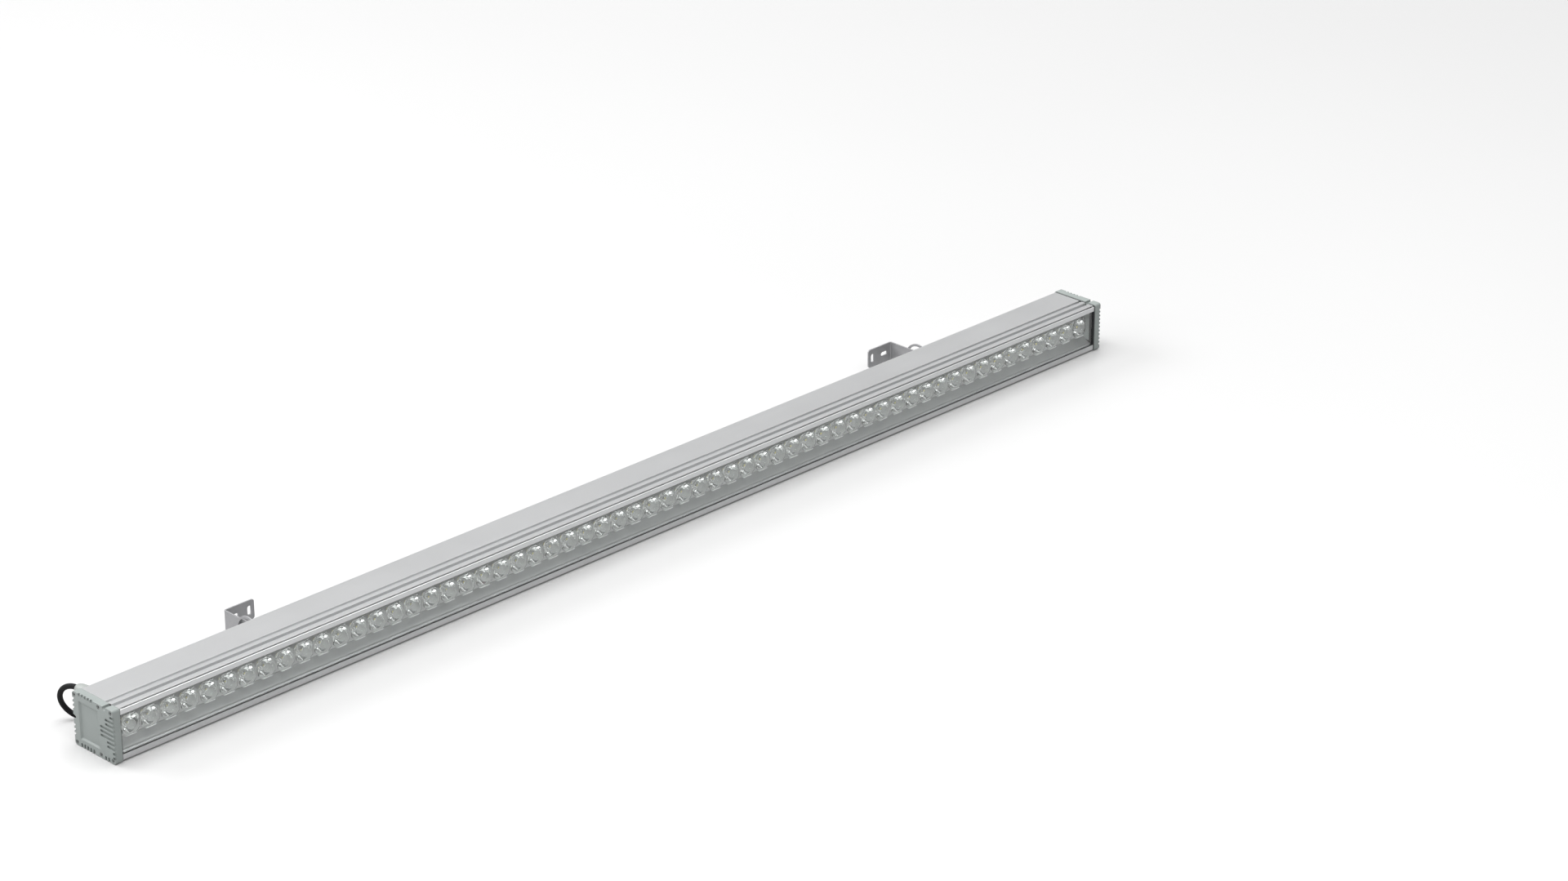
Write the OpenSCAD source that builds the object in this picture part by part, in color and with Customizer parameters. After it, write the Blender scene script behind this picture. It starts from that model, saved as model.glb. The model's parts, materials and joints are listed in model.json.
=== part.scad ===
// Linear outdoor wall washer light: an extruded aluminium housing with die-cast end caps,
// a row of clear lenses behind a front glass, and two tilting bracket pairs on its back.
//
// Shapes are drawn in the fixture's own corner frame: x along the length from the cable
// end, y from the caps' front edge to the back, z up from the caps' underside. placed()
// then puts the origin at the middle of the base.

/* [Overall] */
// Length over both end caps
fixture_length = 1500; // [600:5:2400]
// Depth of an end cap, front to back
cap_depth = 66; // [62:0.5:74]
// Height of an end cap
cap_height = 60.5; // [58:0.5:68]
// How far an end cap stands proud of the housing all round
cap_proud = 1.2; // [0.8:0.1:2]

/* [Housing] */
// Thickness of the outer walls
housing_wall = 2.5; // [2:0.1:3.2]
// Thickness of the inner wall that carries the lamp boards
partition_t = 3; // [2.4:0.1:4]
// Distance from the caps' top edge down to the back slot's centre
back_slot_drop = 29.2; // [27.5:0.1:30.5]
// Height of the back slot's mouth
slot_mouth = 6.2; // [5.8:0.1:7]
// Thickness of the lips beside the slot's mouth
slot_lip = 2.2; // [1.8:0.1:2.6]
// Radius of the screw channels along the housing
port_r = 1.7; // [1.6:0.05:1.9]

/* [End caps] */
// Thickness of an end cap
cap_t = 9.4; // [8:0.2:12]
// Thickness of the rubber sheet under an end cap
cap_gasket_t = 1.2; // [0.8:0.1:2]
// Distance of the outer screws from the cap's edges
cap_screw_inset = 3.5; // [3.4:0.1:3.8]
// Radius of a cap screw's head
cap_screw_head_r = 2.2; // [2.1:0.1:2.6]
// Width of the cast cooling grooves
groove_w = 2.9; // [2.2:0.1:3.4]
// Depth of the cast cooling grooves
groove_deep = 1.6; // [1:0.1:2.2]
// Spacing of the cast cooling grooves
groove_pitch = 4.97; // [4.6:0.01:5.2]
// Depth of the recessed panel
panel_deep = 1.7; // [1:0.1:2.2]

/* [Glass] */
// Thickness of the front glass
glass_t = 4; // [3:0.5:5]
// How far the lower rubber strip laps over the glass
glass_lap = 0.4; // [0.3:0.1:0.6]

/* [Lamps] */
// Spacing of the lenses
lens_pitch = 24.9; // [24:0.1:30]
// Width and height of a lens's front plate
lens_plate = 22; // [20:0.5:22.5]
// Thickness of a lens's front plate
lens_plate_t = 2; // [1.5:0.1:2.5]
// Depth of a lens from its front plate to the board
lens_deep = 11.6; // [10:0.1:12.4]
// Cut corners of a lens's front plate
lens_corner = 4.3; // [3:0.1:5.5]
// Thickness of a lamp board
board_t = 1.6; // [1:0.1:2]
// How much shorter than the glass pocket a lamp board is at each edge
board_margin = 5.8; // [5.6:0.1:7]
// Number of lamp boards in the row
board_count = 3; // [2:1:5]

/* [Brackets] */
// Sheet thickness of the brackets
sheet_t = 1.6; // [1.4:0.1:2.5]
// Distance from the cable end to the left bracket's outer face
bracket_left = 239; // [150:1:260]
// Distance from the far end to the right bracket's outer face
bracket_right = 234.2; // [150:0.2:260]
// Width of the plate that is screwed to the housing
plate_w = 41; // [38:0.5:46]
// Long side of that plate, measured from its screw line
plate_long = 25; // [24:0.5:27]
// Short side of that plate, measured from its screw line
plate_short = 15; // [14.5:0.5:18]
// Distance from the caps' back face to the tilt pivot
pivot_reach = 19; // [18:0.5:24]
// Radius of the slotted head round the pivot
head_r = 19.5; // [19.3:0.1:20]
// Radius of the arc slot's centre line
arc_r = 13.55; // [13.4:0.05:13.8]
// Width of the arc slot
arc_w = 6.5; // [6.4:0.1:6.8]
// Tilt each way from the rest position, in degrees
tilt_each_way = 95; // [30:5:95]
// Height of the wall arm
wall_arm_h = 23; // [20:0.5:24]
// Distance from the pivot to the wall
wall_reach = 43.8; // [40:0.1:60]
// Width of the flange that goes on the wall
flange_w = 39.7; // [38:0.1:46]
// Width of the flange's screw slots
wall_slot_w = 5; // [4.4:0.1:5.6]
// Length of the flange's screw slots
wall_slot_l = 10.6; // [9:0.1:11.5]

/* [Fasteners] */
// Radius of the pivot and lock bolts
bolt_r = 3; // [2.9:0.05:3.05]
// Width across the flats of their nuts
nut_af = 10; // [9.5:0.1:10.5]
// Radius of the screws in the back slot
slot_screw_r = 2.5; // [2.3:0.05:2.6]
// Distance between those two screws
slot_screw_gap = 20; // [18:0.5:22]

/* [Supply] */
// Radius of the supply cable
cable_r = 2.95; // [2.6:0.05:3.1]
// Distance from the fixture's end to the cable gland
gland_x = 23; // [22:0.5:26]
// Distance from the caps' top edge down to the gland's centre
gland_drop = 14; // [13.5:0.5:14.5]
// Radius of the gland's collar
gland_r = 8.2; // [8:0.1:8.6]
// Length of the gland outside the housing
gland_out = 23.2; // [22:0.2:26]
// Length of the power supply
supply_l = 270; // [220:5:300]

/* [Hidden] */
$fn = 64;

// Clearances
eps = 0.01;
run_clear = 0.05;
slide_clear = 0.15;
nut_clear = 0.5;
bolt_gap = 0.1;

// Colours
cap_grey = [0.60, 0.63, 0.62];
metal_grey = [0.66, 0.68, 0.69];
zinc = [0.72, 0.73, 0.74];
steel = [0.82, 0.82, 0.83];
black_rubber = [0.08, 0.08, 0.09];
clear_plastic = [0.86, 0.92, 0.95, 0.5];

// Housing outline
housing_corner = 1.4;
out_y0 = cap_proud;
out_y1 = cap_depth - cap_proud;
out_z0 = cap_proud;
out_z1 = cap_height - cap_proud;
body_x0 = cap_t + cap_gasket_t;
body_l = fixture_length - 2 * body_x0;

// Glass pocket: the glass stands in a rubber frame, whose upper edge is hidden behind the
// housing's lip, and leans on a sloping seat behind its lower edge
pocket_z0 = out_z0 + 6.8;
pocket_z1 = out_z1 - 5.7;
top_lip_t = 1.2;
top_lip_h = 1.2;
strip_lip = 1.2;
strip_base = 0.3;
strip_end = 1.2;
glass_front_gap = 0.2;
glass_y0 = out_y0 + top_lip_t + glass_front_gap;
glass_y1 = glass_y0 + glass_t;
glass_gap = 0.1;
pocket_y1 = glass_y1 + glass_gap;
glass_z0 = pocket_z0 + strip_base + run_clear;
glass_z1 = pocket_z1 - strip_base;
window_z1 = pocket_z1 - top_lip_h;
seat_drop = 0.4;
seat_z0 = pocket_z0 + seat_drop;
seat_rise = 1.2;
lamp_floor_z = seat_z0 + seat_rise;

// Lamp room
lens_rise = 2.4;
lens_z = (pocket_z0 + pocket_z1) / 2 + lens_rise;
lens_behind_glass = 3.7;
lens_y0 = pocket_y1 + lens_behind_glass;
board_y0 = lens_y0 + lens_deep;
board_h = pocket_z1 - pocket_z0 - 2 * board_margin;
partition_y0 = board_y0 + board_t;
partition_y1 = partition_y0 + partition_t;
board_z0 = lens_z - board_h / 2 - 0.6;
board_z1 = board_z0 + board_h;
board_shoulder = 0.4;
end_room = 16;
lens_span = fixture_length - 2 * (body_x0 + end_room);
lens_count = floor(lens_span / lens_pitch) + 1;
lens_x0 = (fixture_length - (lens_count - 1) * lens_pitch) / 2;
function lens_x(i) = lens_x0 + i * lens_pitch;
function board_first(b) = round(b * lens_count / board_count);
chip_w = 3.5;
chip_t = 0.8;
dome_r = 1.35;
dome_t = 0.7;
lens_foot_r = 4.4;
lens_mouth_r = 9.6;
lens_well_r = 2.9;
lens_well_deep = 4;
lens_dish_r = 5.2;
lens_dish_deep = 1.1;

// Screw channels: [y, z] of the six cap screws
port_mid_y = partition_y0 - 0.5;
port_y = [cap_screw_inset, port_mid_y, cap_depth - cap_screw_inset];
port_z = [cap_screw_inset, cap_height - cap_screw_inset];
boss_r = port_r + 1.8;

// Back slot
back_slot_z = cap_height - back_slot_drop;
slot_room_h = slot_mouth + 3.2;
slot_room_d = 5.8;
slot_y1 = out_y1 - slot_lip;
slot_y0 = slot_y1 - slot_room_d;
slot_block_wall = 2;

// Brackets
plate_y0 = out_y1 + slide_clear;
plate_y1 = plate_y0 + sheet_t;
pivot_y = cap_depth + pivot_reach;
flange_y1 = pivot_y + wall_reach;
total_depth = flange_y1;
bend_in_r = 1.2;
spacer_t = 1.1;
washer_t = 1.6;
washer_r = 6;
arm_x0 = 0;
arm_x1 = arm_x0 + sheet_t;
wall_x0 = arm_x1 + spacer_t + bolt_gap;
wall_x1 = wall_x0 + sheet_t;
head_t = 3;
nut_t = 5;
nut_r = nut_af / 2 / cos(30);
neck_h = 14;
arc_end = tilt_each_way + 1.5;
slot_nut = slot_room_h - 2 * nut_clear;
slot_nut_t = 4;
slot_nut_y1 = slot_y1 - 0.2;
slot_head_r = 4.6;
slot_head_t = 3;
slot_screw_x0 = 11.5;
plate_hole_r = slot_screw_r + 0.2;
wall_slot_upright_x = flange_w - 6.8;
wall_slot_flat_x = 12.8;
flange_corner = 3;

// Gland and supply
gland_z = cap_height - gland_drop;
gland_washer_t = 1;
gland_thread_r = 5.9;
gland_hole_r = gland_thread_r + 0.1;
gland_y0 = out_y1 + gland_washer_t;
gland_y1 = out_y1 + gland_out;
gland_in = housing_wall + 6;
gland_nut_t = 3;
gland_nut_r = 7.7;
rear_y1 = out_y1 - housing_wall;
rear_z0 = out_z0 + housing_wall;
rear_z1 = out_z1 - housing_wall;
tray_x0 = 62;
tray_y0 = partition_y1 + 1.2;
tray_room = 3;
tray_w = slot_y0 - slot_block_wall - tray_room - tray_y0;
tray_h = 24;
tray_t = 1.4;
tray_z0 = rear_z0;
supply_board_t = 1.6;
board_clip_z = tray_z0 + 3.4;
core_y0 = rear_y1 - 7.5;
lead_r = 0.9;

// The supply cable lies free: out of the gland, round in a loop and along the floor
cable_straight = 1.5;
CABLE_ROUTE = [
    [23, 88, 46.5], [22.75, 93.88, 46.09], [22.1, 99.6, 44.79], [21.2, 104.98, 42.52],
    [20.37, 109.72, 39.12], [19.96, 113.48, 34.6], [20.22, 116.02, 29.29], [21.29, 117.2, 23.62],
    [23.1, 116.95, 18.02], [25.5, 115.29, 12.9], [28.26, 112.3, 8.64], [31.15, 108.2, 5.54],
    [34.01, 103.36, 3.77], [36.9, 98.26, 3.07], [40.02, 93.24, 3.02], [43.61, 88.56, 3],
    [47.79, 84.4, 3], [52.52, 80.87, 3], [57.67, 77.97, 3], [63.09, 75.63, 3], [68.69, 73.75, 3],
    [74.41, 72.28, 3], [80.22, 71.23, 3], [86.1, 70.66, 3], [92, 70.61, 3]
];

module placed() {
    translate([-fixture_length / 2, -total_depth / 2, 0]) children();
}

// Extrudes a (y, z) outline along x
module along_x(x0, length) {
    translate([x0, 0, 0]) rotate([90, 0, 90]) linear_extrude(length) children();
}

// Cylinder along +x from x0
module rod_x(x0, length, r, y, z, sides = $fn) {
    translate([x0, y, z]) rotate([0, 90, 0]) cylinder(h = length, r = r, $fn = sides);
}

// Cylinder along +y from y0
module rod_y(y0, length, r, x, z, sides = $fn) {
    translate([x, y0, z]) rotate([-90, 0, 0]) cylinder(h = length, r = r, $fn = sides);
}

// Puts a left-hand piece at the right-hand end
module at_right() {
    translate([fixture_length, 0, 0]) mirror([1, 0, 0]) children();
}

function unit(v) = v / norm(v);
function tangent(path, i) =
    unit(path[min(i + 1, len(path) - 1)] - path[max(i - 1, 0)]);
function carried(path, i, u) =
    i >= len(path) ? [] :
    let (t = tangent(path, i), w = unit(u - (u * t) * t))
    concat([w], carried(path, i + 1, w));

// Round tube swept along a path, with flat ends
module tube(path, r, sides, side_dir) {
    count = len(path);
    us = carried(path, 0, side_dir);
    points = [for (i = [0:count - 1]) let (t = tangent(path, i), u = us[i], v = cross(t, u))
        for (j = [0:sides - 1]) path[i] + r * (cos(j * 360 / sides) * u + sin(j * 360 / sides) * v)];
    walls = [for (i = [0:count - 2], j = [0:sides - 1])
        let (a = i * sides + j, b = i * sides + (j + 1) % sides)
        each [[a, a + sides, b], [b, a + sides, b + sides]]];
    last = (count - 1) * sides;
    ends = [for (j = [1:sides - 2]) each [[0, j, j + 1], [last, last + j + 1, last + j]]];
    polyhedron(points, concat(walls, ends));
}

module round_rect(y0, z0, y1, z1, r) {
    translate([y0 + r, z0]) square([y1 - y0 - 2 * r, z1 - z0]);
    translate([y0, z0 + r]) square([y1 - y0, z1 - z0 - 2 * r]);
    for (y = [y0 + r, y1 - r], z = [z0 + r, z1 - r]) translate([y, z]) circle(r);
}

under_floor_y0 = pocket_y1 + 1;
under_floor_z1 = lamp_floor_z - housing_wall;

module housing_rooms() {
    // Glass pocket and lamp room, open to the front
    translate([out_y0 - 1, pocket_z0]) square([pocket_y1 - out_y0 + 1, window_z1 - pocket_z0]);
    translate([out_y0 + top_lip_t, pocket_z0])
        square([pocket_y1 - out_y0 - top_lip_t, pocket_z1 - pocket_z0]);
    polygon([
        [pocket_y1 - eps, seat_z0], [pocket_y1 + seat_rise, lamp_floor_z], [lens_y0, lamp_floor_z],
        [board_y0, board_z0 - board_shoulder], [partition_y0, board_z0 - board_shoulder],
        [partition_y0, board_z1 + board_shoulder],
        [board_y0, board_z1 + board_shoulder], [board_y0, pocket_z1],
        [lens_y0, pocket_z1], [lens_y0, window_z1], [pocket_y1 - eps, window_z1]
    ]);
    // Hollow under the lamp room's floor
    polygon([
        [under_floor_y0, rear_z0], [port_mid_y - boss_r, rear_z0],
        [port_mid_y - boss_r, board_z0 - board_shoulder - housing_wall - 0.6],
        [lens_y0, under_floor_z1], [under_floor_y0, under_floor_z1]
    ]);
    // Rear room
    difference() {
        translate([partition_y1, rear_z0]) square([rear_y1 - partition_y1, rear_z1 - rear_z0]);
        for (z = port_z) translate([port_y[2], z]) circle(boss_r);
        translate([slot_y0 - slot_block_wall, back_slot_z - slot_room_h / 2 - slot_block_wall])
            square([slot_block_wall + slot_room_d + slot_lip + 1, slot_room_h + 2 * slot_block_wall]);
    }
}

wide_groove_y0 = port_y[0] + 6.6;
wide_groove_w = 5.2;
wide_groove_deep = 3.4;
cove_r = 3.2;
cove_y = port_y[0] - 2.65;
cove_z = port_z[1] + 3.97;

module housing_grooves() {
    // Screw channels; the middle one opens upwards, the upper front one into a cove
    for (y = port_y, z = port_z) translate([y, z]) circle(port_r);
    translate([port_mid_y - 2, out_z1 - 1.7]) square([4, 3]);
    translate([cove_y, cove_z]) circle(cove_r);
    // Wide groove behind the front edge
    translate([wide_groove_y0, out_z1 - wide_groove_deep]) square([wide_groove_w, wide_groove_deep + 1]);
    // Back slot
    translate([slot_y0, back_slot_z - slot_room_h / 2]) square([slot_room_d, slot_room_h]);
    translate([slot_y1 - eps, back_slot_z - slot_mouth / 2]) square([slot_lip + 1, slot_mouth]);
}

module housing() {
    color(metal_grey) placed() difference() {
        along_x(body_x0, body_l) difference() {
            round_rect(out_y0, out_z0, out_y1, out_z1, housing_corner);
            housing_rooms();
            housing_grooves();
        }
        rod_y(rear_y1 - 1, housing_wall + 2, gland_hole_r, gland_x, gland_z);
        for (b = [0:board_count - 1], x = board_screw_x(b))
            rod_y(partition_y0 - 0.5, partition_t + 1, board_screw_r + run_clear, x, lens_z);
        rod_y(board_y0 - 1, board_t + partition_t + 2, lead_hole_r, lead_x, lead_z);
    }
}

// A cooling groove on the cap's outer face with one round end
module cap_groove(length) {
    translate([-eps, -eps, -groove_w / 2]) cube([groove_deep + eps, length - groove_w / 2 + eps, groove_w]);
    rod_x(-eps, groove_deep + eps, groove_w / 2, length - groove_w / 2, 0, 32);
}

GROOVE_LENGTHS = [3.6, 3.6, 12.2, 12.2, 21.9, 21.9, 21.9, 13.3, 13.3, 5.4];
groove_z0 = (cap_height - 9 * groove_pitch) / 2 - 0.9;
edge_groove = 3;
side_groove_y0 = 34.8;
side_groove_count = 5;

module cap_grooves() {
    for (i = [0:9]) translate([0, 0, groove_z0 + i * groove_pitch]) cap_groove(GROOVE_LENGTHS[i]);
    // Short ones along the back edge
    for (i = [1, 2, 3, 7, 8, 9])
        translate([0, cap_depth, groove_z0 + i * groove_pitch]) mirror([0, 1, 0]) cap_groove(edge_groove);
    // Short ones along the top and bottom edges
    for (i = [0:side_groove_count - 1]) translate([0, side_groove_y0 + i * groove_pitch, 0]) {
        translate([0, 0, cap_height]) rotate([-90, 0, 0]) cap_groove(edge_groove);
        rotate([90, 0, 0]) cap_groove(edge_groove + 2);
    }
    for (i = [0:1])
        translate([0, 10.4 + i * groove_pitch, 0]) rotate([90, 0, 0]) cap_groove(edge_groove + 2);
}

panel_y0 = 24.7;
panel_y1 = cap_depth - 9.5;
panel_z0 = 9;
panel_z1 = cap_height - 8.5;
panel_slope = 2;

module cap_panel() {
    hull() {
        translate([-0.1, panel_y0, panel_z0]) cube([0.1, panel_y1 - panel_y0, panel_z1 - panel_z0]);
        translate([panel_deep - 0.1, panel_y0 + panel_slope, panel_z0 + panel_slope])
            cube([0.1, panel_y1 - panel_y0 - 2 * panel_slope, panel_z1 - panel_z0 - 2 * panel_slope]);
    }
}

cap_corner = 3;
cap_notch_r = 2.6;
cap_notch_y = port_y[0] + 10.3;
cap_screw_head_t = 2.2;
cap_screw_hole_r = 1.85;
cap_recess_r = cap_screw_head_r + 0.2;
cap_recess_deep = 2.8;
cap_screw_r = port_r - run_clear;
cap_screw_in = 3;
cap_pocket_wall = 3.4;

module end_cap() {
    difference() {
        along_x(0, cap_t) round_rect(0, 0, cap_depth, cap_height, cap_corner);
        cap_grooves();
        cap_panel();
        for (y = port_y, z = port_z) {
            rod_x(-1, cap_t + 2, cap_screw_hole_r, y, z);
            rod_x(-1, cap_recess_deep + 1, cap_recess_r, y, z);
        }
        // Notch over the housing's wide groove
        rod_x(-1, cap_t + 2, cap_notch_r, cap_notch_y, cap_height - cap_proud);
        // Notch at the back slot
        along_x(-1, cap_t + 2) polygon([
            [cap_depth + 1, back_slot_z - slot_mouth / 2], [cap_depth - 4, back_slot_z - 1.4],
            [cap_depth - 4, back_slot_z + 1.4], [cap_depth + 1, back_slot_z + slot_mouth / 2]
        ]);
        // Hollow back of the casting
        translate([panel_deep + cap_pocket_wall, panel_y0 + 5, panel_z0 + 4])
            cube([cap_t, panel_y1 - panel_y0 - 10, panel_z1 - panel_z0 - 8]);
    }
}

module end_cap_left() { color(cap_grey) placed() end_cap(); }
module end_cap_right() { color(cap_grey) placed() at_right() end_cap(); }

gasket_hole_r = port_r + 0.1;
gasket_room_z0 = lamp_floor_z + 2;
gasket_room_z1 = window_z1 - 2.4;
groove_gap = 0.3;

module end_cap_gasket() {
    along_x(cap_t, cap_gasket_t) difference() {
        round_rect(out_y0, out_z0, out_y1, out_z1, housing_corner);
        for (y = port_y, z = port_z) translate([y, z]) circle(gasket_hole_r);
        translate([lens_y0, gasket_room_z0])
            square([board_y0 - lens_y0 - 1, gasket_room_z1 - gasket_room_z0]);
        translate([partition_y1 + 2, rear_z0 + 6])
            square([slot_y0 - slot_block_wall - partition_y1 - 4, rear_z1 - rear_z0 - 12]);
        translate([wide_groove_y0 - groove_gap, out_z1 - wide_groove_deep - groove_gap])
            square([wide_groove_w + 2 * groove_gap, wide_groove_deep + 1]);
        translate([slot_y0, back_slot_z - slot_room_h / 2])
            square([slot_room_d + slot_lip + 1, slot_room_h]);
    }
}

module end_cap_gasket_left() { color(black_rubber) placed() end_cap_gasket(); }
module end_cap_gasket_right() { color(black_rubber) placed() at_right() end_cap_gasket(); }

module cross_recess(size) {
    translate([-eps, -size / 2, -size / 6]) cube([size / 2, size, size / 3]);
    translate([-eps, -size / 6, -size / 2]) cube([size / 2, size / 3, size]);
}

module end_cap_screws() {
    for (y = port_y, z = port_z) difference() {
        union() {
            rod_x(cap_recess_deep - cap_screw_head_t, cap_screw_head_t, cap_screw_head_r, y, z);
            rod_x(cap_recess_deep - eps, cap_t + cap_gasket_t + cap_screw_in - cap_recess_deep,
                cap_screw_r, y, z);
        }
        translate([cap_recess_deep - cap_screw_head_t, y, z]) cross_recess(cap_screw_head_r * 1.2);
    }
}

module end_cap_screws_left() { color(steel) placed() end_cap_screws(); }
module end_cap_screws_right() { color(steel) placed() at_right() end_cap_screws(); }

glass_x0 = body_x0 + strip_end;
glass_l = fixture_length - 2 * glass_x0;

module front_glass() {
    color(clear_plastic) placed()
        translate([glass_x0, glass_y0, glass_z0]) cube([glass_l, glass_t, glass_z1 - glass_z0]);
}

module glass_gasket() {
    color(black_rubber) placed() {
        along_x(body_x0, body_l) {
            translate([glass_y0 - strip_lip, pocket_z0]) square([strip_lip, strip_base + glass_lap]);
            translate([glass_y0 - eps, pocket_z0]) square([glass_t + eps, strip_base]);
            translate([glass_y0, glass_z1]) square([glass_t, strip_base]);
        }
        for (x = [body_x0, fixture_length - glass_x0]) translate([x, glass_y0, pocket_z0])
            cube([strip_end, glass_t, pocket_z1 - pocket_z0]);
    }
}

board_gap = 0.6;
board_screw_r = 1.3;
function board_x0(b) = b == 0 ? body_x0 + 4 : lens_x(board_first(b)) - lens_pitch / 2 + board_gap / 2;
function board_x1(b) = b == board_count - 1 ? fixture_length - body_x0 - 4
    : lens_x(board_first(b + 1)) - lens_pitch / 2 - board_gap / 2;
function board_screw_x(b) = let (first = board_first(b), last = board_first(b + 1) - 1)
    [lens_x(first) + lens_pitch / 2, lens_x(floor((first + last) / 2)) + lens_pitch / 2,
     lens_x(last) - lens_pitch / 2];

module lamp_boards() {
    color("whitesmoke") placed() for (b = [0:board_count - 1]) difference() {
        translate([board_x0(b), board_y0, board_z0]) cube([board_x1(b) - board_x0(b), board_t, board_h]);
        for (x = board_screw_x(b)) rod_y(board_y0 - 1, board_t + 2, board_screw_r + run_clear, x, lens_z);
    }
}

module board_screws() {
    color(steel) placed() for (b = [0:board_count - 1], x = board_screw_x(b)) {
        rod_y(board_y0 - 1.6, 1.6, 2.4, x, lens_z, 32);
        rod_y(board_y0 - eps, board_t + partition_t, board_screw_r, x, lens_z, 32);
    }
}

module lamp_chips() {
    color([0.95, 0.85, 0.35]) placed() for (i = [0:lens_count - 1]) {
        translate([lens_x(i) - chip_w / 2, board_y0 - chip_t, lens_z - chip_w / 2])
            cube([chip_w, chip_t, chip_w]);
        rod_y(board_y0 - chip_t - dome_t, dome_t + eps, dome_r, lens_x(i), lens_z, 24);
    }
}

// A clear lens: a square plate with cut corners in front of a cone that stands on the board
module lens() {
    half = lens_plate / 2;
    cut = half - lens_corner;
    difference() {
        union() {
            rotate([90, 0, 0]) translate([0, 0, -lens_plate_t]) linear_extrude(lens_plate_t) polygon([
                [-cut, -half], [cut, -half], [half, -cut], [half, cut],
                [cut, half], [-cut, half], [-half, cut], [-half, -cut]
            ]);
            translate([0, lens_plate_t - eps, 0]) rotate([-90, 0, 0])
                cylinder(h = lens_deep - lens_plate_t + eps, r1 = lens_mouth_r, r2 = lens_foot_r, $fn = 48);
        }
        rod_y(lens_deep - lens_well_deep, lens_well_deep + 1, lens_well_r, 0, 0, 32);
        translate([0, -eps, 0]) rotate([-90, 0, 0])
            cylinder(h = lens_dish_deep, r1 = lens_dish_r, r2 = lens_dish_r - 1, $fn = 48);
    }
}

module lens_group(b0, b1) {
    color(clear_plastic) placed()
        for (i = [board_first(b0):board_first(b1) - 1]) translate([lens_x(i), lens_y0, lens_z]) lens();
}

third_a = floor(board_count / 3);
third_b = ceil(2 * board_count / 3);
module lenses_left() { lens_group(0, max(1, third_a)); }
module lenses_middle() { lens_group(max(1, third_a), third_b); }
module lenses_right() { lens_group(third_b, board_count); }

// Power supply in the rear room
supply_end_gap = 0.5;
module supply_tray() {
    color("white") placed() difference() {
        translate([tray_x0, tray_y0, tray_z0]) cube([supply_l, tray_w, tray_h]);
        translate([tray_x0 + tray_t, tray_y0 + tray_t, tray_z0 + tray_t])
            cube([supply_l - 2 * tray_t, tray_w - 2 * tray_t, tray_h]);
    }
}

board_inset = tray_t + supply_end_gap;
board_rail = 3;
module supply_board() {
    color("darkgreen") placed() difference() {
        translate([tray_x0 + board_inset, tray_y0 + board_inset, tray_z0 + tray_t])
            cube([supply_l - 2 * board_inset, tray_w - 2 * board_inset, parts_z - tray_z0 - tray_t]);
        translate([tray_x0 + board_inset + board_rail, tray_y0 + board_inset - 1, tray_z0 + tray_t - 1])
            cube([supply_l - 2 * (board_inset + board_rail), tray_w, board_clip_z - tray_z0 - tray_t + 1]);
    }
}

parts_z = board_clip_z + supply_board_t;
tray_mid_y = tray_y0 + tray_w / 2;
transformer_w = tray_w * 2 / 3;
transformer_l = 26;
transformer_h = 13;
choke_w = tray_w * 7 / 12;
choke_l = 14;
choke_h = 10;
module supply_transformer() {
    color([0.75, 0.62, 0.2]) placed() {
        translate([tray_x0 + supply_l * 0.52, tray_mid_y - transformer_w / 2, parts_z])
            cube([transformer_l, transformer_w, transformer_h]);
        translate([tray_x0 + supply_l * 0.25, tray_mid_y - choke_w / 2, parts_z])
            cube([choke_l, choke_w, choke_h]);
    }
}

capacitor_r = 4.8;
capacitor_h = 14;
module supply_capacitors() {
    color([0.15, 0.2, 0.35]) placed() for (x = [0.38, 0.45, 0.75, 0.82])
        translate([tray_x0 + supply_l * x, tray_mid_y, parts_z]) cylinder(h = capacitor_h, r = capacitor_r);
}

terminal_l = 12;
terminal_w = tray_w * 2 / 3;
terminal_h = 11;
terminal_gap = 4;
terminal_pitch = tray_w * 5 / 24;
terminal_bore_r = terminal_pitch * 0.36;
terminal_bore_z = 6;
module terminal_block() {
    x0 = tray_x0 + board_inset + terminal_gap;
    color([0.2, 0.45, 0.25]) placed() difference() {
        translate([x0, tray_mid_y - terminal_w / 2, parts_z]) cube([terminal_l, terminal_w, terminal_h]);
        for (i = [-1:1])
            translate([x0 + terminal_l / 2, tray_mid_y + i * terminal_pitch, parts_z + terminal_bore_z])
                cylinder(h = terminal_h, r = terminal_bore_r, $fn = 32);
    }
}

// Three insulated wires from the cable's end to the terminals
module mains_leads() {
    color("saddlebrown") placed() for (i = [0:2]) {
        x_start = gland_x + (i - 1) * 2.1 * lead_r;
        y_end = tray_mid_y + (i - 1) * terminal_pitch;
        turn = core_y0 - 1.5 - y_end;
        over_z = tray_z0 + tray_h + 2 * lead_r;
        x_end = tray_x0 + board_inset + terminal_gap;
        z_end = parts_z + 3;
        tube(concat(
            [[x_start, core_y0, gland_z]],
            [for (a = [0:15:90]) [x_start + turn * (1 - cos(a)), core_y0 - 1.5 - turn * sin(a),
                gland_z - (gland_z - over_z) * 0.8 * pow(a / 90, 2)]],
            [[tray_x0 - 8, y_end, over_z + 1], [tray_x0 - 1, y_end, over_z],
             [tray_x0 + 2.6, y_end, over_z - 1.4], [x_end - 2, y_end, over_z - 5],
             [x_end - 2, y_end, z_end + 4], [x_end - 1.4, y_end, z_end + 1],
             [x_end - 0.6, y_end, z_end], [x_end, y_end, z_end]]
        ), lead_r, 8, [0, 0, 1]);
    }
}

lead_x = lens_x(board_first(1)) - lens_pitch / 2 - 6;
lead_hole_r = 1.7;
lead_z = board_z1 + board_shoulder + lead_hole_r + 0.2;
lamp_lead_r = 0.7;

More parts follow.
